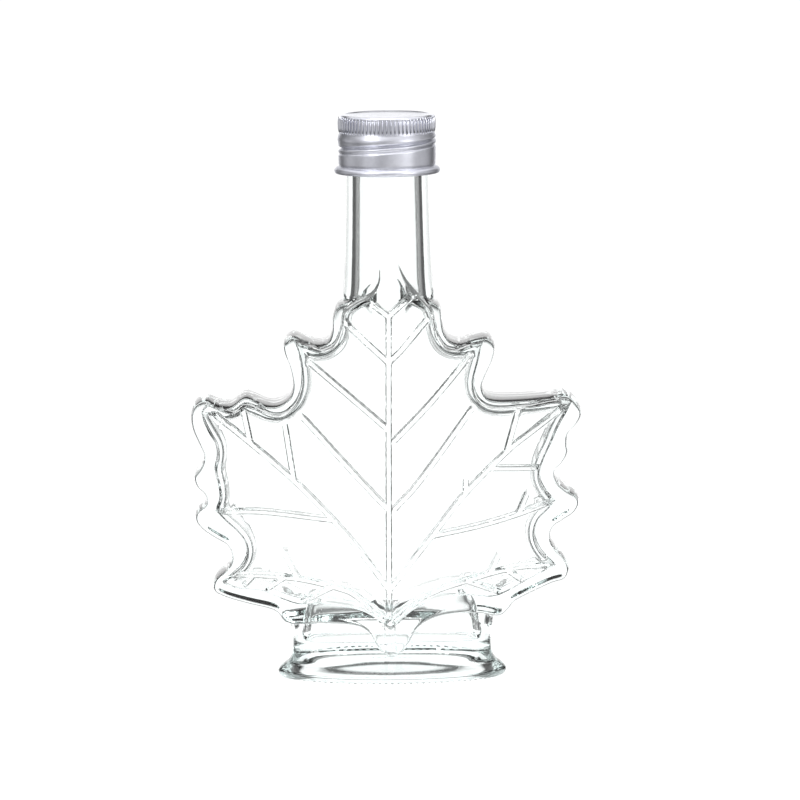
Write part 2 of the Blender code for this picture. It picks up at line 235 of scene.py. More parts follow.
lowerEdge = [(-17.0, 14.3), (-11.0, 14.1), (-7.4, 13.3), (-5.3, 11.5), (-4.0, 9.2), (-2.4, 7.2), (0, 6.2),
             (2.6, 7.4), (4.4, 9.8), (6.2, 12.8), (9.2, 15.0), (14.0, 16.4), (21.0, 16.5)]
rightEdge = [(10.9, 94.8), (12.9, 93.2), (13.4, 90.0), (13.9, 87.2), (15.3, 85.1), (17.7, 84.3),
             (20.8, 85.3), (24.4, 85.7), (26.3, 83.6), (25.9, 80.2), (24.2, 76.4), (23.2, 73.4),
             (24.3, 70.9), (27.0, 70.1), (33.0, 70.2), (39.0, 70.7), (43.8, 71.3), (46.4, 69.4),
             (47.8, 66.6), (46.8, 64.0), (44.6, 61.6), (44.1, 59.2), (44.3, 56.6), (42.9, 54.0),
             (41.1, 52.2), (41.3, 50.0), (43.6, 47.8), (46.3, 46.0), (47.0, 43.8), (45.6, 41.4),
             (42.6, 39.4), (40.5, 37.9), (39.8, 35.4), (40.9, 32.9), (43.3, 30.2), (44.4, 27.4),
             (43.2, 24.8), (40.0, 23.7), (36.0, 21.9), (31.0, 19.4), (29.4, 17.6), (27.6, 15.9),
             (25.6, 15.6)]
upperEdge = [(6.5, 97.5), (0, 98.6), (-6.5, 97.5)]

# The raised leaf's edge, one stretch from each sharp tip to the next
raisedEdge = [
    [(0.2, 113), (-2.3, 107), (-2.5, 103), (-2.8, 99.9), (-4.5, 97.3), (-8.4, 95.2), (-11.2, 92.6),
     (-12.2, 88.0), (-13.6, 85.0), (-16.5, 83.6), (-19.8, 84.5), (-23.6, 85.8)],
    [(-23.6, 85.8), (-22.6, 82.8), (-21.8, 78.0), (-21.9, 74.0), (-23.4, 70.4), (-26.1, 68.0),
     (-29.2, 67.7), (-35.4, 70.1), (-39.0, 68.3), (-45.2, 70.2)],
    [(-45.2, 70.2), (-46.9, 68.2), (-46.5, 66.0), (-44.8, 62.6), (-43.2, 59.8), (-42.9, 57.0),
     (-43.5, 53.6), (-42.7, 49.6), (-42.4, 46.4), (-43.5, 43.3)],
    [(-43.5, 43.3), (-41.4, 40.9), (-38.6, 38.4), (-36.5, 35.8), (-35.9, 33.0), (-36.8, 30.2),
     (-39.2, 27.8), (-42.4, 25.2)],
    [(-42.4, 25.2), (-38.5, 23.7), (-32.0, 22.9), (-27.6, 21.2), (-22.6, 19.7), (-17.3, 20.0),
     (-9.6, 18.8), (-5.0, 17.0), (-0.3, 13.4)],
    [(-0.3, 13.4), (4.1, 17.4), (9.4, 20.3), (17.2, 21.7), (25.0, 21.2), (29.2, 22.6), (34.0, 25.2),
     (40.9, 28.7)],
    [(40.9, 28.7), (37.2, 32.8), (35.8, 36.6), (36.6, 40.2), (39.2, 42.8), (40.9, 44.9)],
    [(40.9, 44.9), (38.2, 48.2), (37.1, 51.6), (38.2, 55.4), (40.0, 59.2), (41.8, 63.4), (45.3, 69.6)],
    [(45.3, 69.6), (40.6, 70.1), (34.6, 69.2), (27.0, 68.7), (23.3, 69.8), (21.3, 72.6), (21.1, 75.9),
     (22.4, 80.8), (23.2, 85.0)],
    [(23.2, 85.0), (19.6, 84.3), (16.9, 83.4), (14.1, 84.1), (12.3, 86.8), (11.5, 90.0), (10.9, 92.8),
     (9.0, 95.3), (6.7, 97.7), (4.4, 100.9), (3.2, 104), (2.6, 107), (0.2, 113)],
]

# Middle lines of the midrib, the long side veins and the short ones
veins = [
    [(0, 91.8), (-0.3, 62), (-0.5, 36), (-0.6, 14)],
    [(-43.0, 67.2), (-34.6, 60.6), (-23.8, 51.3), (-14.3, 41.5), (-7.2, 33.0), (-0.6, 23.8)],
    [(44.0, 69.2), (35.4, 62.9), (28.9, 57.9), (18.7, 47.9), (10.6, 37.8), (-0.2, 24.1)],
    [(-40.0, 27.1), (-32.3, 27.4), (-21.9, 26.4), (-12.7, 24.1), (-8.3, 21.9), (-0.6, 14.9)],
    [(39.1, 29.0), (30.4, 28.7), (19.7, 26.1), (8.0, 21.9), (-0.3, 15.0)],
    [(-41.6, 43.3), (-33.3, 43.5), (-25.9, 42.9), (-14.5, 41.5)],
    [(39.4, 44.9), (31.5, 42.2), (22.0, 39.6), (11.0, 37.4)],
    [(-3.6, 94.5), (-0.1, 91.8)], [(5.6, 96.8), (0, 91.8)],
    [(-10.6, 90.2), (-4.2, 84.2), (-0.2, 80.5)], [(9.2, 90.7), (3.2, 83.7), (-0.1, 80.5)],
    [(-19.3, 80.3), (-8.5, 71.0), (-0.4, 63.9)], [(20.0, 81.9), (10.5, 70.8), (1.2, 61.2)],
    [(-21.2, 66.7), (-8.0, 52.0), (-0.6, 44.0)], [(20.4, 68.8), (7.6, 51.4), (1.1, 44.2)],
    [(-36.1, 68.0), (-34.6, 60.6)], [(-25.9, 65.0), (-23.9, 51.3)], [(-26.3, 32.7), (-23.1, 26.6)],
    [(-34.3, 27.3), (-36.5, 24.9)], [(-26.8, 26.8), (-31.1, 23.9)], [(-14.6, 24.6), (-22.0, 20.9)],
    [(31.8, 68.0), (28.9, 57.9)], [(25.6, 53.9), (37.1, 53.6)], [(18.7, 51.0), (18.6, 47.8)],
    [(33.8, 47.2), (31.7, 42.3)], [(26.7, 32.1), (24.3, 27.4)], [(18.6, 25.8), (27.1, 22.6)],
    [(28.6, 28.4), (32.6, 25.4)],
]

stalk = [(-0.5, 15.0), (-0.4, 10.0), (0.1, 5.0)]


# How close together the points of the glass stand
fineness = {
    "edge": 0.7,
    "raisedEdge": 0.6,
    "profile": 0.3,
    "footEdge": 0.4,
    "hollowFoot": 0.5,
    "hollowEdge": 0.25,
    "turns": 24,             # across a tube's flat end
    "grid": 2.2,             # between everything else
    "gridGap": 0.4,          # share of the grid's step that its points keep from all others
    "nearest": 0.11,         # least distance between two points
    "loopGap": 0.02,         # from a lattice to an outline
    # Distances of rows of points from an edge or from a vein's middle line, which has them on both sides
    "edgeRows": (0.12, 0.24, 0.36, 0.5, 0.75, 1.05, 1.4, 1.8, 2.3, 3.0),
    "raisedRows": (0, 0.12, 0.24, 0.36, 0.5, 0.65, 0.85, 1.6, -0.13, -0.5),
    "veinRows": (0.43, 0.54, 0.65, 0.77, bottle["veinHalf"], 1.1),
    "stalkRows": (0.9, 1.1, 1.3, 1.5, 1.7),
    # Lowest and highest row, step and columns of a lattice of points
    "neckLattice": (86, bottle["neckTop"] - 0.35, 1.1, 24),
    "footLattice": (0.65, 13, 0.4, 44),
    "boreLattice": (86, bottle["neckTop"] - 0.35, 1.3, 24),
    "hollowLattice": (9.0, 22, 0.6, 36),
}


# How far each point is from the nearest of the others.
def nearestPoint(points, others):
    best = np.empty(len(points))
    few = batch // 4
    for first in range(0, len(points), few):
        away = points[first:first + few, None, :] - others[None]
        best[first:first + few] = np.sqrt((away ** 2).sum(2).min(1))
    return best


# Flat triangles over the union of some closed loops, with points along the rows, at the lattices' crossings
# and on a plain grid between
def sheetOver(loops, lattices, rows):
    nearest = fineness["nearest"]
    gridStep = fineness["grid"]
    points = []
    edges = []
    taken = {}

    def cellOf(point):
        return int(point[0] // nearest), int(point[1] // nearest)

    def isFree(point):
        across, up = cellOf(point)
        for i in (-1, 0, 1):
            for j in (-1, 0, 1):
                for other in taken.get((across + i, up + j), ()):
                    if math.hypot(points[other][0] - point[0], points[other][1] - point[1]) < nearest:
                        return False
        return True

    def addPoint(point):
        points.append((float(point[0]), float(point[1])))
        taken.setdefault(cellOf(point), []).append(len(points) - 1)
        return len(points) - 1

    # A number for each point of a row, or None where it doesn't fit
    def addRow(row, fits):
        return [addPoint(point) if fine and isFree(point) else None for point, fine in zip(row, fits)]

    def addEdges(starts, ends):
        edges.extend((a, b) for a, b in zip(starts, ends) if a is not None and b is not None)

    for loop in loops:
        numbers = [addPoint(point) for point in loop]
        addEdges(numbers, numbers[1:] + numbers[:1])
    for lattice in lattices:
        places = np.array(lattice).reshape(-1, 2)
        fits = insideAny(places, loops) & (distanceTo(places, loops, True) > fineness["loopGap"])
        before = []
        for row, fine in zip(lattice, fits.reshape(len(lattice), -1)):
            numbers = addRow(row, fine)
            addEdges(numbers, numbers[1:])
            addEdges(numbers, before)
            before = numbers
    for line, good, closed in rows:
        numbers = addRow(line, good & insideAny(line, loops))
        addEdges(numbers, numbers[1:] + numbers[:1] if closed else numbers[1:])
    low = np.min([loop.min(0) for loop in loops], 0)
    high = np.max([loop.max(0) for loop in loops], 0)
    across = np.arange(low[0], high[0], gridStep)
    up = np.arange(low[1], high[1], gridStep)
    grid = np.array([(x + (j % 2) * gridStep / 2, z) for j, z in enumerate(up) for x in across])
    grid = grid[insideAny(grid, loops)]
    gaps = nearestPoint(grid, np.array(points))
    for point in grid[gaps > fineness["gridGap"] * gridStep]:
        addPoint(point)
    sameSpot = 1e-5
    made = geometry.delaunay_2d_cdt([Vector(point) for point in points], edges, [], 0, sameSpot)
    flat = np.array([tuple(point) for point in made[0]])
    faces = np.array([tuple(face) for face in made[2]])
    faces = faces[insideAny(flat[faces].mean(1), loops)]
    used = np.unique(faces)
    renumber = np.full(len(flat), -1)
    renumber[used] = np.arange(len(used))
    return flat[used], renumber[faces]


# The edges that only one triangle uses.
def boundaryOf(faces):
    edges = np.concatenate([faces[:, [0, 1]], faces[:, [1, 2]], faces[:, [2, 0]]])
    ordered = np.sort(edges, 1)
    _, index, count = np.unique(ordered, axis=0, return_index=True, return_counts=True)
    return edges[index[count == 1]]


# A closed outline of something turned or lofted about x = 0: down its left side and up its right.
def tubeOutline(profile, low, high, spacing):
    heights = np.arange(high, low, -spacing)
    heights = np.append(heights, low)
    left = [(-heightAt(profile, z), z) for z in heights]
    right = [(-x, z) for x, z in left[::-1]]
    across = [(heightAt(profile, low) * math.sin(turn), low) for turn in turnsAcross]
    top = [(heightAt(profile, high) * math.sin(turn), high) for turn in turnsAcross]
    return np.array(left + across + right + top[::-1])


# A profile of straight pieces made smooth.
def smoothProfile(profile):
    return [tuple(point) for point in smoothLine(profile, fineness["profile"])]


turnsAcross = np.linspace(-math.pi / 2, math.pi / 2, fineness["turns"] + 1)[1:-1]
leafEdge = smoothLine(leftEdge + lowerEdge + rightEdge[::-1] + upperEdge, fineness["edge"], True)
raisedLine = np.concatenate([smoothLine(stretch, fineness["raisedEdge"])[:-1] for stretch in raisedEdge])
veinLines = [smoothLine(points, fineness["edge"]) for points in veins]
stalkLine = smoothLine(stalk, fineness["edge"])
neckSmooth = smoothProfile(neckProfile)
boreSmooth = smoothProfile(boreProfile)
footAcross = smoothProfile(footWidths)
footThrough = smoothProfile(footDepths)

# Heights between which each part counts
neckEnd = neckProfile[-1][1]
footEnd = footWidths[-1][1]
hollowStart = hollowWidths[0][1]
hollowEnd = hollowWidths[-1][1]
nowhere = -99    # a depth far below any other
steep = -4       # how a round part's depth runs on outside it


# The hollow's edge: inside the raised leaf's, well clear of the outer edge, and without its sharp tips
def hollowLine():
    passes = 3
    nearby = 0.05  # a point that is closer than this to the outer edge is moved by less
    moved, good, _ = rowsBeside(raisedLine, (bottle["hollowIn"],), True)[0]
    moved = np.minimum(moved[good], (np.inf, bottle["hollowTop"]))
    for _ in range(passes):
        gap = depthInside(moved, leafEdge)
        nearest = np.array([leafEdge[np.argmin(((leafEdge - point) ** 2).sum(1))] for point in moved])
        away = (moved - nearest) / np.maximum(np.linalg.norm(moved - nearest, axis=1), nearby)[:, None]
        away *= np.where(gap > 0, 1, -1)[:, None]
        moved = moved + away * np.maximum(0, bottle["leastWall"] - gap)[:, None]
    middle = np.array(bottle["middle"])
    kept = []
    for point in moved:
        here = point - middle
        last = kept[-1] - middle if kept else here
        turnsOn = last[0] * here[1] - last[1] * here[0] > 0
        if not kept or (turnsOn and np.hypot(*(here - last)) > fineness["hollowEdge"]):
            kept.append(point)
    line = np.array(kept)
    for _ in range(passes):
        line = (np.roll(line, 1, 0) + 2 * line + np.roll(line, -1, 0)) / 4
    return line


hollowEdge = hollowLine()


# Half the thickness of a round bar at x, falling away steeply outside it.
def roundHeight(x, radius):
    inside = np.sqrt(np.maximum(0, radius ** 2 - x ** 2))
    return np.where(np.abs(x) < radius, inside, steep * (np.abs(x) - radius))


# Half the thickness of an oval bar, a true oval at the rim and squarer at the waist
def ovalHeight(x, z, width, depth):
    share = np.abs(x) / width
    power = 2 + bottle["footSquare"] * ease(z, *bottle["footWaist"])
    inside = depth * np.maximum(0, 1 - share ** power) ** (1 / power)
    return np.where(share < 1, inside, steep * (share - 1) * width)


# A nearly upright wall at the edge with a round above it; it falls away steeply outside
def wallHeight(edge, height, shape):
    fall = 20
    width, rounding, drop = shape
    rise = (height - drop) * rim(edge / width) + drop * rim(edge / (width + rounding))
    return np.where(edge > 0, rise, fall * edge)


def ballHeight(points, ball):
    x = points[:, 0] - bottle["middle"][0]
    z = points[:, 1] - bottle["middle"][1]
    return ball[1] * np.sqrt(np.maximum(bottle["leastBall"], 1 - (x / ball[0]) ** 2 - (z / ball[2]) ** 2))


# The flat band round the raised leaf, which bulges forwards in a chin under it.
def shelfAt(points):
    x, z = points.T
    chin = bottle["chinDepth"] * ease(z, *bottle["chinTop"])
    return bottle["shelfDepth"] + chin * ease(np.abs(x), *bottle["chinSide"])


# How far the outer glass stands from the leaf's plane.
def outsideHeights(points, toFront):
    x, z = points.T
    edge = depthInside(points, leafEdge)
    if toFront:
        leaf = wallHeight(edge, shelfAt(points), bottle["shelfRound"])
    else:
        depth, level, gain = bottle["backStem"]
        leaf = wallHeight(edge, ballHeight(points, bottle["backBall"]), bottle["backRound"])
        leaf = np.minimum(leaf, depth + gain * np.maximum(0, z - level))  # the stem shows only in front
    neck = np.where(z > neckEnd, roundHeight(x, heightAt(neckSmooth, z)), nowhere)
    foot = ovalHeight(x, z, heightAt(footAcross, z), heightAt(footThrough, z))
    foot = np.where(z < footEnd, foot, nowhere)
    height = smoothMax(leaf, neck, bottle["neckBlend"])
    height = smoothMax(height, foot, bottle["footBlend"])
    if not toFront:
        return height
    raised = depthInside(points, raisedLine)
    lift = np.maximum(0, ballHeight(points, bottle["faceBall"]) - height)
    start, width, rise = bottle["faceBevel"]
    rise = np.minimum(rise, lift)
    height = height + (lift - rise) * ease(raised, *bottle["faceStep"])
    height = height + rise * np.clip((raised - start) / width, 0, 1)
    rib = ease(distanceTo(points, veinLines), bottle["veinHalf"], -bottle["veinFlank"])
    height = height + bottle["veinHeight"] * rib * ease(raised, *bottle["veinStart"])
    rib = ease(distanceTo(points, [stalkLine]), bottle["stalkHalf"], -bottle["stalkFlank"])
    return height + bottle["stalkHeight"] * rib * ease(z, *bottle["stalkTop"]) * ease(z, *bottle["stalkFoot"])


# How far the hollow reaches from the leaf's plane.
def insideHeights(points, toFront):
    x, z = points.T
    edge = depthInside(points, hollowEdge)
    ball = bottle["faceBall"] if toFront else bottle["backBall"]
    deep = ballHeight(points, ball) - bottle["wall"] - bottle["hollowLess"] * ease(z, *bottle["hollowNeck"])
    leaf = wallHeight(edge, np.maximum(bottle["hollowLeast"], deep), bottle["hollowRound"])
    neck = np.where(z > neckEnd, roundHeight(x, heightAt(boreSmooth, z)), nowhere)
    foot = ovalHeight(x, z, heightAt(hollowWidths, z), heightAt(hollowDepths, z))
    foot = np.where(z < hollowEnd, foot, nowhere)
    height = smoothMax(smoothMax(leaf, neck, bottle["boreBlend"]), foot, bottle["hollowBlend"])
    return np.minimum(height, outsideHeights(points, toFront) - bottle["leastGlass"])


# Front and back sheets joined along their outline, apart from its flat ends.
def doubleSheet(flat, faces, front, back, openHeights):
    sameLevel = 1e-4
    boundary = np.unique(boundaryOf(faces))
    closed = np.zeros(len(flat), bool)
    closed[boundary] = True
    for height in openHeights:
        closed &= np.abs(flat[:, 1] - height) > sameLevel
    front = np.where(closed, 0, front)
    back = np.where(closed, 0, back)
    tips = boundary[np.argsort(flat[boundary, 0])]
    backIndex = np.arange(len(flat)) + len(flat)
    backIndex[closed] = np.where(closed)[0]
    for height in openHeights:
        level = [i for i in tips if abs(flat[i, 1] - height) < sameLevel]
        for i in (level[0], level[-1]):
            front[i] = back[i] = 0
            backIndex[i] = i
    vertices = np.concatenate([np.stack([flat[:, 0], -front, flat[:, 1]], 1),
                               np.stack([flat[:, 0], back, flat[:, 1]], 1)])
    return vertices, np.concatenate([faces, backIndex[faces][:, ::-1]])


def newObject(name, data):
    item = bpy.data.objects.new(name, data)
    bpy.context.scene.collection.objects.link(item)
    return item


# A piece from points in millimetres about the neck's axis.
def meshPiece(name, vertices, faces):
    mesh = bpy.data.meshes.new(name)
    place = (vertices + np.array([neckAxis, 0, 0])) * mm
    mesh.from_pydata([tuple(point) for point in place], [], [tuple(face) for face in faces])
    return newObject(name, mesh)


# The numbers of the points round an open end, in order of their turn about the neck's axis.
def openLoop(vertices, faces, height):
    sameLevel = 1e-3
    ends = np.unique(boundaryOf(faces))
    ends = ends[np.abs(vertices[ends, 2] - height) < sameLevel]
    return ends[np.argsort(np.arctan2(vertices[ends, 1], vertices[ends, 0]))]


# Triangles between two rings with the same number of points.
def bridge(lower, upper):
    faces = []
    for i in range(len(lower)):
        j = (i + 1) % len(lower)
        faces.append((lower[i], lower[j], upper[j]))
        faces.append((lower[i], upper[j], upper[i]))
    return faces


# Level rows of points across a turned or lofted piece, closer together towards its sides
def latticeIn(profile, low, high, step, columns):
    fromSide = 0.15       # distance of a row's ends from the piece's side
    leastTurn = 0.03
    turns = np.linspace(-math.pi / 2, math.pi / 2, columns + 1)[1:-1]
    last = math.asin(1 - fromSide / heightAt(profile, high))
    turns = np.concatenate([[-last], turns[np.abs(turns) < last - leastTurn], [last]])
    rows = []
    for z in np.linspace(low, high, round((high - low) / step) + 1):
        rows.append([(heightAt(profile, z) * math.sin(turn), z) for turn in turns])
    return rows


def bothSides(offsets):
    return [0] + [side * offset for offset in offsets for side in (1, -1)]


def outsideSheet():
    neck = tubeOutline(neckSmooth, bottle["tubeFrom"], bottle["neckTop"], fineness["edge"])
    foot = tubeOutline(footAcross, bottle["soleHeight"], footEnd, fineness["footEdge"])
    rows = rowsBeside(raisedLine, fineness["raisedRows"], True)
    for line in veinLines:
        rows += rowsBeside(line, bothSides(fineness["veinRows"]))
    rows += rowsBeside(stalkLine, bothSides(fineness["stalkRows"]))
    rows += rowsBeside(leafEdge, fineness["edgeRows"], True)
    lattices = [latticeIn(neckSmooth, *fineness["neckLattice"]),
                latticeIn(footAcross, *fineness["footLattice"])]
    flat, faces = sheetOver([leafEdge, neck, foot], lattices, rows)
    front = outsideHeights(flat, True)
    back = outsideHeights(flat, False)
    return doubleSheet(flat, faces, front, back, (bottle["soleHeight"], bottle["neckTop"]))


def insideSheet():
    bore = tubeOutline(boreSmooth, bottle["tubeFrom"], bottle["neckTop"], fineness["edge"])
    hollow = tubeOutline(hollowWidths, hollowStart, hollowEnd, fineness["hollowFoot"])
    rows = rowsBeside(hollowEdge, fineness["edgeRows"], True)
    lattices = [latticeIn(boreSmooth, *fineness["boreLattice"]),
                latticeIn(hollowWidths, *fineness["hollowLattice"])]
    flat, faces = sheetOver([hollowEdge, bore, hollow], lattices, rows)
    front = insideHeights(flat, True)
    back = insideHeights(flat, False)
    vertices, faces = doubleSheet(flat, faces, front, back, (bottle["neckTop"],))
    return vertices, faces[:, ::-1]


# One closed skin: the outside, the hollow, the mouth's rim between them and the sole
def makeBottle():
    sameSpot = 0.000002
    sliver = 0.0000005
    sharpFrom = 60
    outer, outerFaces = outsideSheet()
    inner, innerFaces = insideSheet()
    vertices = np.concatenate([outer, inner])
    faces = [tuple(face) for face in outerFaces] + [tuple(face) for face in innerFaces + len(outer)]
    mouth = openLoop(outer, outerFaces, bottle["neckTop"])
    bore = openLoop(inner, innerFaces, bottle["neckTop"]) + len(outer)
    faces += bridge(mouth, bore)
    ring = openLoop(outer, outerFaces, bottle["soleHeight"])
    turns = np.arctan2(outer[ring, 1] / footDepths[0][0], outer[ring, 0] / footWidths[0][0])
    for width, depth, height in soleRings:
        added = np.stack([width * np.cos(turns), depth * np.sin(turns), np.full(len(turns), height)], 1)
        following = np.arange(len(turns)) + len(vertices)
        vertices = np.concatenate([vertices, added])
        faces += bridge(following, ring)
        ring = following
    faces.append(tuple(ring[::-1]))
    piece = meshPiece("glass", vertices, faces)
    shape = bmesh.new()
    shape.from_mesh(piece.data)
    bmesh.ops.remove_doubles(shape, verts=shape.verts, dist=sameSpot)
    bmesh.ops.dissolve_degenerate(shape, edges=shape.edges, dist=sliver)
    loose = [edge for edge in shape.edges if len(edge.link_faces) != 2]
    print("bottle:", len(shape.faces), "faces,", len(loose), "open or shared edges")
    shape.to_mesh(piece.data)
    shape.free()
    piece.data.shade_smooth()
    piece.data.set_sharp_from_angle(angle=math.radians(sharpFrom))
    return piece


cap = {
    "sides": 216,
    "rowStep": 0.14,
    "skirt": (128.9, 136.5),   # heights between which the thread is pressed in
    "pressFrom": 11.6,         # radius outside which it is pressed in
    "threadMiddle": 133.75,    # height of the groove at the front
    "threadRise": 4.65,        # per turn, rising to the right
    "threadFrom": -250,        # degrees from the front
    "threadTo": 190,
    "threadFade": 45,
    "grooves": [(0, 0.72, 0.62), (-1.45, 0.34, 0.5)],   # height from the line, depth, half width
}

# Radius and height from the middle of the top over the shoulder to the thread
capTop = [(0, 140.66), (5.0, 140.66), (9.9, 140.66), (10.3, 140.7), (10.6, 140.82), (10.95, 140.9),
          (11.3, 140.86), (11.6, 140.68), (11.75, 140.4), (11.72, 140.15), (11.6, 140.0), (11.68, 139.8),
          (11.72, 139.4), (11.72, 137.4), (11.72, 136.9), (11.74, 136.6)]
capSkirt = [(11.74, 136.6), (11.86, 136.2), (12.06, 135.75), (12.24, 135.25), (12.28, 134.75), (12.16, 134.1),
            (12.08, 133.4), (12.08, 131.0), (12.06, 129.0)]
# From the thread round the rolled lower rim and up the inside
capRim = [(12.06, 128.8), (12.0, 128.45), (11.88, 128.2), (11.9, 128.05), (12.15, 127.95), (12.6, 127.82),
          (12.98, 127.52), (13.15, 127.12), (13.1, 126.7), (12.85, 126.4), (12.5, 126.32), (12.25, 126.46),
          (12.12, 126.75), (11.9, 127.3), (11.72, 128.0), (11.72, 128.8), (11.1, 130.0), (11.1, 139.0),
          (10.9, 139.72), (10.4, 139.95), (0, 139.95)]


# How deep the pressed thread is at an angle from the front, in degrees, and a height
def threadDepth(angle, z):
    fade = cap["threadFade"]
    depth = 0
    for turn in (angle - 360, angle, angle + 360):
        line = cap["threadMiddle"] + cap["threadRise"] * turn / 360
        strength = ease(turn, cap["threadFrom"], fade) * ease(turn, cap["threadTo"], -fade)
        for place, deep, half in cap["grooves"]:
            share = np.clip(np.abs(z - line - place) / half, 0, 1)
            depth = depth + strength * deep * (1 + math.cos(math.pi * share)) / 2
    return float(depth)


def makeCap():
    low, high = cap["skirt"]
    skirtRows = [(heightAt(capSkirt, z), z) for z in np.arange(high, low, -cap["rowStep"])]
    profile = smoothProfile(capTop[1:])[:-1] + skirtRows + smoothProfile(capRim[:-1])
    vertices = [(0, 0, capTop[0][1])]
    faces = []
    sides = cap["sides"]
    for radius, z in profile:
        for i in range(sides):
            angle = 360 * i / sides - 180
            here = radius
            if low < z < high and radius > cap["pressFrom"]:
                here -= threadDepth(angle, z)
            turn = math.radians(angle)
            vertices.append((here * math.sin(turn), -here * math.cos(turn), z))
    for row in range(len(profile) - 1):
        for i in range(sides):
            a = 1 + row * sides + i
            b = 1 + row * sides + (i + 1) % sides
            faces.append((a, a + sides, b + sides, b))
    last = 1 + (len(profile) - 1) * sides
    vertices.append((0, 0, capRim[-1][1]))
    for i in range(sides):
        j = (i + 1) % sides
        faces.append((0, 1 + i, 1 + j))
        faces.append((len(vertices) - 1, last + j, last + i))
    piece = meshPiece("capShell", np.array(vertices), faces)
    piece.data.shade_smooth()
    return piece


capRibs = {
    "count": 72,
    "ring": (11.72, 11.72, 138.45),    # half width, half depth and height
    "ringPoints": 144,
    "size": (0.29, 0.5, 2.2),          # half the length, depth and height of each
    "unevenness": 0.06,
    "seed": 2,
}

footMarks = {
    "count": 84,
    "ring": (26.4, 13.9, 0.36),        # half their own height up, so that they stand on the ground
    "ringPoints": 120,
    "size": (0.5, 0.66, 0.36),
    "unevenness": 0.25,
    "seed": 4,
}


# Each value goes into its input: another node's output by a link, anything else as it is
def feed(tree, node, values):
    for name, value in values.items():
        if isinstance(value, bpy.types.NodeSocket):
            tree.links.new(value, node.inputs[name])
        else:
            node.inputs[name].default_value = value


def addNode(tree, kind, values={}, **settings):
    node = tree.nodes.new(kind)
    for name, value in settings.items():
        setattr(node, name, value)
    feed(tree, node, values)
    return node


# Small rounded marks at an even spacing along a closed line
def makeMarksTree():
    tree = bpy.data.node_groups.new("marksAlongLine", "GeometryNodeTree")
    for name, kind in (("Geometry", "Geometry"), ("Count", "Int"), ("Size", "Vector"),
                       ("Unevenness", "Float"), ("Seed", "Int"), ("Finish", "Material")):
        tree.interface.new_socket(name, in_out="INPUT", socket_type="NodeSocket" + kind)
    tree.interface.new_socket("Geometry", in_out="OUTPUT", socket_type="NodeSocketGeometry")
    given = addNode(tree, "NodeGroupInput").outputs
    line = addNode(tree, "GeometryNodeMeshToCurve", {"Mesh": given["Geometry"]})
    spaced = addNode(tree, "GeometryNodeResampleCurve", {
        "Curve": line.outputs["Curve"], "Count": given["Count"]})
    tangent = addNode(tree, "GeometryNodeInputTangent")
    parts = addNode(tree, "ShaderNodeSeparateXYZ", {"Vector": tangent.outputs["Tangent"]})
    heading = addMath(tree, "ARCTAN2", parts.outputs["Y"], parts.outputs["X"])
    turned = addNode(tree, "ShaderNodeCombineXYZ", {"Z": heading})
    mark = addNode(tree, "GeometryNodeMeshUVSphere", {"Segments": 10, "Rings": 8, "Radius": 1})
    least = addMath(tree, "SUBTRACT", 1, given["Unevenness"])
    spread = addNode(tree, "FunctionNodeRandomValue", {"Min": least, "Seed": given["Seed"]})
    sized = addNode(tree, "ShaderNodeVectorMath", {"Vector": given["Size"], "Scale": spread.outputs["Value"]},
                    operation="SCALE")
    placed = addNode(tree, "GeometryNodeInstanceOnPoints", {
        "Points": spaced.outputs["Curve"], "Instance": mark.outputs["Mesh"],
        "Rotation": turned.outputs["Vector"], "Scale": sized.outputs["Vector"]})
    real = addNode(tree, "GeometryNodeRealizeInstances", {"Geometry": placed.outputs["Instances"]})
    smooth = addNode(tree, "GeometryNodeSetShadeSmooth", {"Geometry": real.outputs["Geometry"]})
    finish = addNode(tree, "GeometryNodeSetMaterial", {
        "Geometry": smooth.outputs["Geometry"], "Material": given["Finish"]})
    addNode(tree, "NodeGroupOutput", {"Geometry": finish.outputs["Geometry"]})
    return tree


# A plain mesh of marks round a ring
def makeMarks(name, tree, marks, finish):
    width, depth, height = marks["ring"]
    turns = np.linspace(0, 2 * math.pi, marks["ringPoints"], endpoint=False)
    ring = [(width * math.cos(turn) + neckAxis, depth * math.sin(turn), height) for turn in turns]
    mesh = bpy.data.meshes.new(name + "Line")
    mesh.from_pydata([tuple(np.array(point) * mm) for point in ring],
                     [(i, (i + 1) % len(ring)) for i in range(len(ring))], [])
    guide = newObject(name + "Line", mesh)
    modifier = guide.modifiers.new("marks", "NODES")
    modifier.node_group = tree
    values = {"Count": marks["count"], "Size": [part * mm for part in marks["size"]],
              "Unevenness": marks["unevenness"], "Seed": marks["seed"], "Finish": finish}
    for item in tree.interface.items_tree:
        if item.item_type == "SOCKET" and item.in_out == "INPUT" and item.name in values:
            modifier[item.identifier] = values[item.name]
    evaluated = guide.evaluated_get(bpy.context.evaluated_depsgraph_get())
    made = bpy.data.meshes.new_from_object(evaluated)
    guide.modifiers.clear()
    bpy.data.objects.remove(guide)
    return newObject(name, made)


# Broad and fine noise mixed into one mask
def makeUnevenGroup():
    group = bpy.data.node_groups.new("unevenSurface", "ShaderNodeTree")
    group.interface.new_socket("Vector", in_out="INPUT", socket_type="NodeSocketVector")
    for name, value in (("Broad Scale", 40), ("Fine Scale", 400), ("Fine Share", 0.4)):
        socket = group.interface.new_socket(name, in_out="INPUT", socket_type="NodeSocketFloat")
        socket.default_value = value
    group.interface.new_socket("Mask", in_out="OUTPUT", socket_type="NodeSocketFloat")
    given = addNode(group, "NodeGroupInput").outputs
    noise = [addNode(group, "ShaderNodeTexNoise", {"Vector": given["Vector"], "Scale": given[scale],
                                                   "Detail": detail}).outputs["Fac"]
             for scale, detail in (("Broad Scale", 2), ("Fine Scale", 3))]
    mixed = addNode(group, "ShaderNodeMix", {"Factor": given["Fine Share"], "A": noise[0], "B": noise[1]})
    addNode(group, "NodeGroupOutput", {"Mask": mixed.outputs["Result"]})
    return group


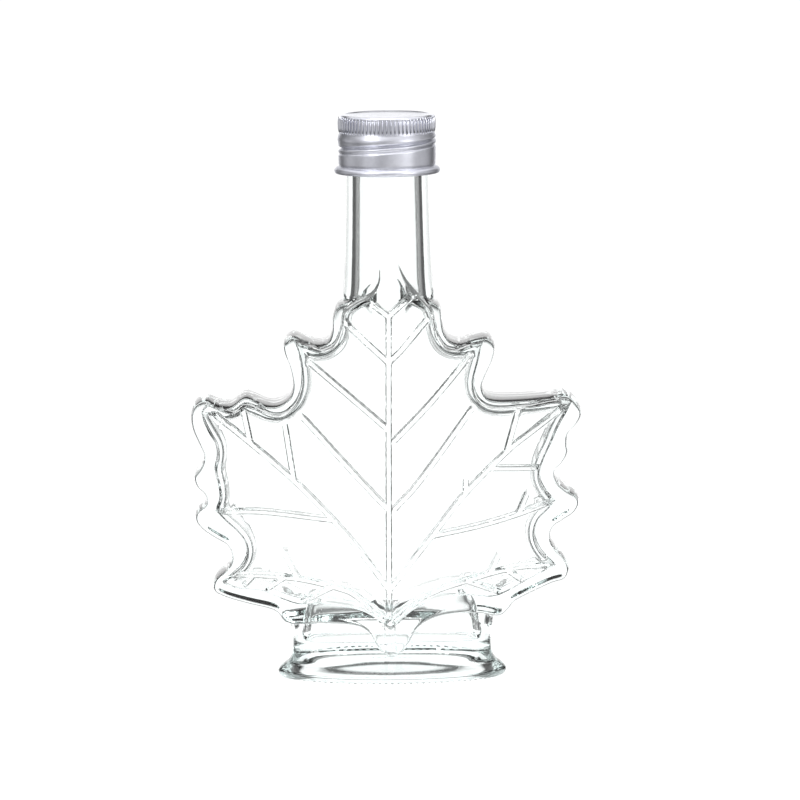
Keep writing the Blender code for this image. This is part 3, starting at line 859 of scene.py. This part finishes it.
def newMaterial(name):
    material = bpy.data.materials.new(name)
    material.use_nodes = True
    tree = material.node_tree
    return material, tree, tree.nodes["Principled BSDF"], tree.nodes["Material Output"]


def addPlace(tree):
    return addNode(tree, "ShaderNodeTexCoord").outputs["Object"]


# A mask from noise; the scales are the broad and the fine one, and the fine one's share
def addUneven(tree, group, place, scales):
    broad, fine, share = scales
    values = {"Vector": place, "Broad Scale": broad, "Fine Scale": fine, "Fine Share": share}
    return addNode(tree, "ShaderNodeGroup", values, node_tree=group).outputs["Mask"]


# From one range to another; the range that noise usually fills is taken if none is given
def addRange(tree, value, ends, given=(0.3, 0.7)):
    return addNode(tree, "ShaderNodeMapRange", {
        "Value": value, "From Min": given[0], "From Max": given[1], "To Min": ends[0], "To Max": ends[1],
    }).outputs["Result"]


def addMath(tree, operation, *values):
    return addNode(tree, "ShaderNodeMath", dict(enumerate(values)), operation=operation).outputs["Value"]


def addVector(tree, *values):
    return addNode(tree, "ShaderNodeCombineXYZ", dict(enumerate(values))).outputs["Vector"]


def addBump(tree, height, distance, strength):
    values = {"Height": height, "Distance": distance, "Strength": strength}
    return addNode(tree, "ShaderNodeBump", values).outputs["Normal"]


# A mix of two colours, each a tuple, a shade of grey or another node's output
def addMix(tree, share, first, second):
    values = {"Factor": share}
    for name, value in (("A", first), ("B", second)):
        if isinstance(value, float):
            value = (value, value, value)
        values[name] = (*value, 1) if isinstance(value, tuple) else value
    return addNode(tree, "ShaderNodeMix", values, data_type="RGBA").outputs["Result"]


glassLook = {
    "pale": (1.0, 1.0, 1.0),
    "tinted": (0.97, 0.99, 0.985),
    "markPaintedShade": 0.25,       # painted shade: the marks' glass is darkened to stand in for the dark surroundings they refract
    "haze": (30, 260, 0.5),
    "roughness": (0.0, 0.02),
    "ior": 1.51,
    "absorbed": (0.62, 0.82, 0.80),
    "density": 9.0,
    "ripples": (110, 600, 0.15),
    "rippleHeight": 0.00025,
    "rippleStrength": 0.16,
    "shadow": (0.93, 0.95, 0.95),      # what a lamp's light keeps on its way through
}


def makeGlassMaterial(group, name, shade):
    material, tree, shader, output = newMaterial(name)
    place = addPlace(tree)
    ripples = addUneven(tree, group, place, glassLook["ripples"])
    haze = addUneven(tree, group, place, glassLook["haze"])
    # A shade below 1 darkens the glass's colour as painted shade
    tones = [tuple(part * shade for part in glassLook[tone]) for tone in ("pale", "tinted")]
    feed(tree, shader, {
        "Base Color": addMix(tree, haze, *tones),
        "Roughness": addRange(tree, haze, glassLook["roughness"]),
        "Normal": addBump(tree, ripples, glassLook["rippleHeight"], glassLook["rippleStrength"]),
        "IOR": glassLook["ior"],
        "Transmission Weight": 1,
    })
    throughLamps = addNode(tree, "ShaderNodeBsdfTransparent", {"Color": (*glassLook["shadow"], 1)})
    path = addNode(tree, "ShaderNodeLightPath")
    chosen = addNode(tree, "ShaderNodeMixShader", {
        "Fac": path.outputs["Is Shadow Ray"], 1: shader.outputs["BSDF"], 2: throughLamps.outputs["BSDF"]})
    absorbed = addNode(tree, "ShaderNodeVolumeAbsorption", {
        "Color": (*glassLook["absorbed"], 1), "Density": glassLook["density"]})
    feed(tree, output, {"Surface": chosen.outputs["Shader"], "Volume": absorbed.outputs["Volume"]})
    return material


metalLook = {
    "bright": (0.82, 0.83, 0.90),
    "dull": (0.66, 0.67, 0.74),
    "smudges": (140, 900, 0.35),
    "roughness": (0.33, 0.45),
    "ribRoughness": (0.1, 0.2),
    "topShine": -0.2,        # added to the roughness on the cap's top
    "topEdge": (0.1405, 0.1407),       # heights between which it sets in
    "turning": 2200,         # fine lines per metre of height or radius, left by turning
    "lines": (30, 90, 0.5),
    "lineHeight": 0.00003,
    "lineStrength": 0.25,
}


# Turning lines run round the cap and in rings on its top
def makeMetalMaterial(group, name, roughness):
    material, tree, shader, output = newMaterial(name)
    place = addPlace(tree)
    centred = addNode(tree, "ShaderNodeMapping", {"Vector": place, "Location": (-neckAxis * mm, 0, 0)})
    x, y, z = addNode(tree, "ShaderNodeSeparateXYZ", {"Vector": centred.outputs["Vector"]}).outputs
    radius = addNode(tree, "ShaderNodeVectorMath", {0: addVector(tree, x, y)}, operation="LENGTH")
    along = addMath(tree, "ADD", z, radius.outputs["Value"])
    stretched = addMath(tree, "MULTIPLY", along, metalLook["turning"] / metalLook["lines"][0])
    lines = addUneven(tree, group, addVector(tree, x, y, stretched), metalLook["lines"])
    smudges = addRange(tree, addUneven(tree, group, place, metalLook["smudges"]), (0, 1))
    top = addRange(tree, z, (0, 1), metalLook["topEdge"])
    rough = addRange(tree, lines, roughness)
    feed(tree, shader, {
        "Base Color": addMix(tree, smudges, metalLook["bright"], metalLook["dull"]),
        "Roughness": addMath(tree, "MULTIPLY_ADD", top, metalLook["topShine"], rough),
        "Normal": addBump(tree, lines, metalLook["lineHeight"], metalLook["lineStrength"]),
        "Metallic": 1,
    })
    return material


skyLook = {
    "strength": 1.25,
    # Brightness round the bottle by bearing in degrees, from the left of the camera's side past the back (0)
    "round": [(-180, 0.5), (-174, 0.28), (-160, 0.28), (-150, 0.62), (-120, 0.62), (-112, 0.2), (-100, 0.2),
              (-94, 0.6), (-76, 0.45), (-60, 0.28), (-49, 0.02), (-34, 0.02), (-27, 1), (27, 1),
              (34, 0.02), (49, 0.02), (60, 0.28), (76, 0.45), (96, 0.6), (102, 0.22), (112, 0.22),
              (120, 0.66), (165, 0.66), (180, 0.5)],
    # Brightness by height, as the sine of the elevation, where it takes over from the bearing
    "over": [(0.0, 0.12), (0.45, 0.12), (0.62, 0.9), (1.0, 0.9)],
    "overFrom": (0.22, 0.36),
    "under": 0.08,
    "underFrom": (-0.36, -0.22),
    "backdrop": 0.85,        # what the camera sees behind the bottle
}


def addRamp(tree, value, stops):
    node = addNode(tree, "ShaderNodeValToRGB", {"Fac": value})
    ramp = node.color_ramp
    ramp.interpolation = "EASE"
    while len(ramp.elements) < len(stops):
        ramp.elements.new(0.5)  # any place, as the stops set it
    for element, (place, shade) in zip(ramp.elements, stops):
        element.position = place
        element.color = (shade, shade, shade, 1)
    return node.outputs["Color"]


# Bright behind the bottle and dark to its sides, so that clear glass shows by dark edges
def makeSky():
    world = bpy.data.worlds.new("studio")
    bpy.context.scene.world = world
    world.use_nodes = True
    tree = world.node_tree
    direction = addNode(tree, "ShaderNodeTexCoord").outputs["Generated"]
    x, y, z = addNode(tree, "ShaderNodeSeparateXYZ", {"Vector": direction}).outputs
    bearing = addRange(tree, addMath(tree, "ARCTAN2", x, y), (0, 1), (-math.pi, math.pi))
    around = addRamp(tree, bearing, [((turn + 180) / 360, shade) for turn, shade in skyLook["round"]])
    over = addRamp(tree, z, skyLook["over"])
    sky = addMix(tree, addRange(tree, z, (0, 1), skyLook["overFrom"]), around, over)
    sky = addMix(tree, addRange(tree, z, (1, 0), skyLook["underFrom"]), sky, skyLook["under"])
    seen = addNode(tree, "ShaderNodeLightPath").outputs["Is Camera Ray"]
    feed(tree, tree.nodes["Background"], {
        "Color": addMix(tree, seen, sky, skyLook["backdrop"]), "Strength": skyLook["strength"]})


floorLook = {
    "radius": 0.3,
    "sides": 96,
    "middle": (0, -0.08, 0),
    "fade": (0.11, 0.2),     # radii between which it fades out
    "glow": 0.62,
    "shade": 0.55,
    "darker": 0.97,          # its cloudy patches, as a share of the shade
    "cloud": (3, 40, 0.3),
    "roughness": 0.2,
    "ior": 1.6,
}


# A pale, faintly glowing disc that fades out before its rim
def makeFloor(group):
    shape = bmesh.new()
    bmesh.ops.create_circle(shape, cap_ends=True, radius=floorLook["radius"], segments=floorLook["sides"])
    bmesh.ops.translate(shape, verts=shape.verts, vec=floorLook["middle"])
    mesh = bpy.data.meshes.new("floor")
    shape.to_mesh(mesh)
    shape.free()
    floor = newObject("floor", mesh)
    material, tree, shader, output = newMaterial("paleFloor")
    place = addPlace(tree)
    cloud = addUneven(tree, group, place, floorLook["cloud"])
    feed(tree, shader, {
        "Base Color": addMix(tree, cloud, floorLook["shade"], floorLook["shade"] * floorLook["darker"]),
        "Roughness": floorLook["roughness"],
        "IOR": floorLook["ior"],
        "Emission Color": (1, 1, 1, 1),
        "Emission Strength": floorLook["glow"],
    })
    reach = addNode(tree, "ShaderNodeVectorMath", {0: place, 1: floorLook["middle"]}, operation="DISTANCE")
    mixed = addNode(tree, "ShaderNodeMixShader", {
        "Fac": addRange(tree, reach.outputs["Value"], (0, 1), floorLook["fade"]),
        1: shader.outputs["BSDF"], 2: addNode(tree, "ShaderNodeBsdfTransparent").outputs["BSDF"]})
    feed(tree, output, {"Surface": mixed.outputs["Shader"]})
    mesh.materials.append(material)


lampAim = 0.09   # height of the point that every lamp faces

lamps = {
    # place, size and power of each soft lamp
    "softLeft": ((-0.75, -0.95, 0.75), 0.35, 4.0),
    "softRight": ((0.95, -0.8, 0.45), 0.5, 3.0),
    "overhead": ((0.0, -0.1, 1.5), 0.9, 6.0),
}


def makeLamps():
    aim = Vector((neckAxis * mm, 0, lampAim))
    for name, (place, size, power) in lamps.items():
        light = bpy.data.lights.new(name, "AREA")
        light.size = size
        light.energy = power
        lamp = newObject(name, light)
        lamp.location = place
        lamp.rotation_euler = (aim - Vector(place)).to_track_quat("-Z", "Y").to_euler()


camera = {
    "place": (0.0035, -2.0, 0.315),
    "aim": (0.0035, 0.0, 0.0694),
    "lens": 364,
    "sensor": 36,
    "reach": 50,
    "roll": 0.58,            # degrees by which the view's content turns to the left
}


def makeCamera():
    lens = bpy.data.cameras.new("camera")
    lens.lens = camera["lens"]
    lens.sensor_width = camera["sensor"]
    lens.clip_end = camera["reach"]
    item = newObject("camera", lens)
    place = Vector(camera["place"])
    aimed = (Vector(camera["aim"]) - place).to_track_quat("-Z", "Y").to_matrix().to_4x4()
    rolled = Matrix.Rotation(math.radians(-camera["roll"]), 4, "Z")
    item.matrix_world = Matrix.Translation(place) @ aimed @ rolled
    bpy.context.scene.camera = item
    bpy.context.scene.view_settings.view_transform = "Standard"


uneven = makeUnevenGroup()
clearGlass = makeGlassMaterial(uneven, "clearGlass", 1)
# The marks under the foot get glass darkened with painted shade, for the dark surroundings they refract
paintedShadeMarkGlass = makeGlassMaterial(uneven, "paintedShadeMarkGlass", glassLook["markPaintedShade"])
satinMetal = makeMetalMaterial(uneven, "satinAluminium", metalLook["roughness"])
brightMetal = makeMetalMaterial(uneven, "brightAluminium", metalLook["ribRoughness"])
print("materials made")

glassPiece = makeBottle()
glassPiece.data.materials.append(clearGlass)
marksTree = makeMarksTree()
marksPiece = makeMarks("footMarks", marksTree, footMarks, paintedShadeMarkGlass)
print("bottle made")

capPiece = makeCap()
capPiece.data.materials.append(satinMetal)
ribsPiece = makeMarks("capRibs", marksTree, capRibs, brightMetal)
print("cap made")

for piece, slotName in ((glassPiece, "glass"), (marksPiece, "glass"), (capPiece, "aluminium"),
                        (ribsPiece, "aluminium")):
    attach(piece, "root")
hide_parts("bottle")
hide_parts("cap")

makeSky()
makeFloor(uneven)
makeLamps()
makeCamera()
print("studio made")
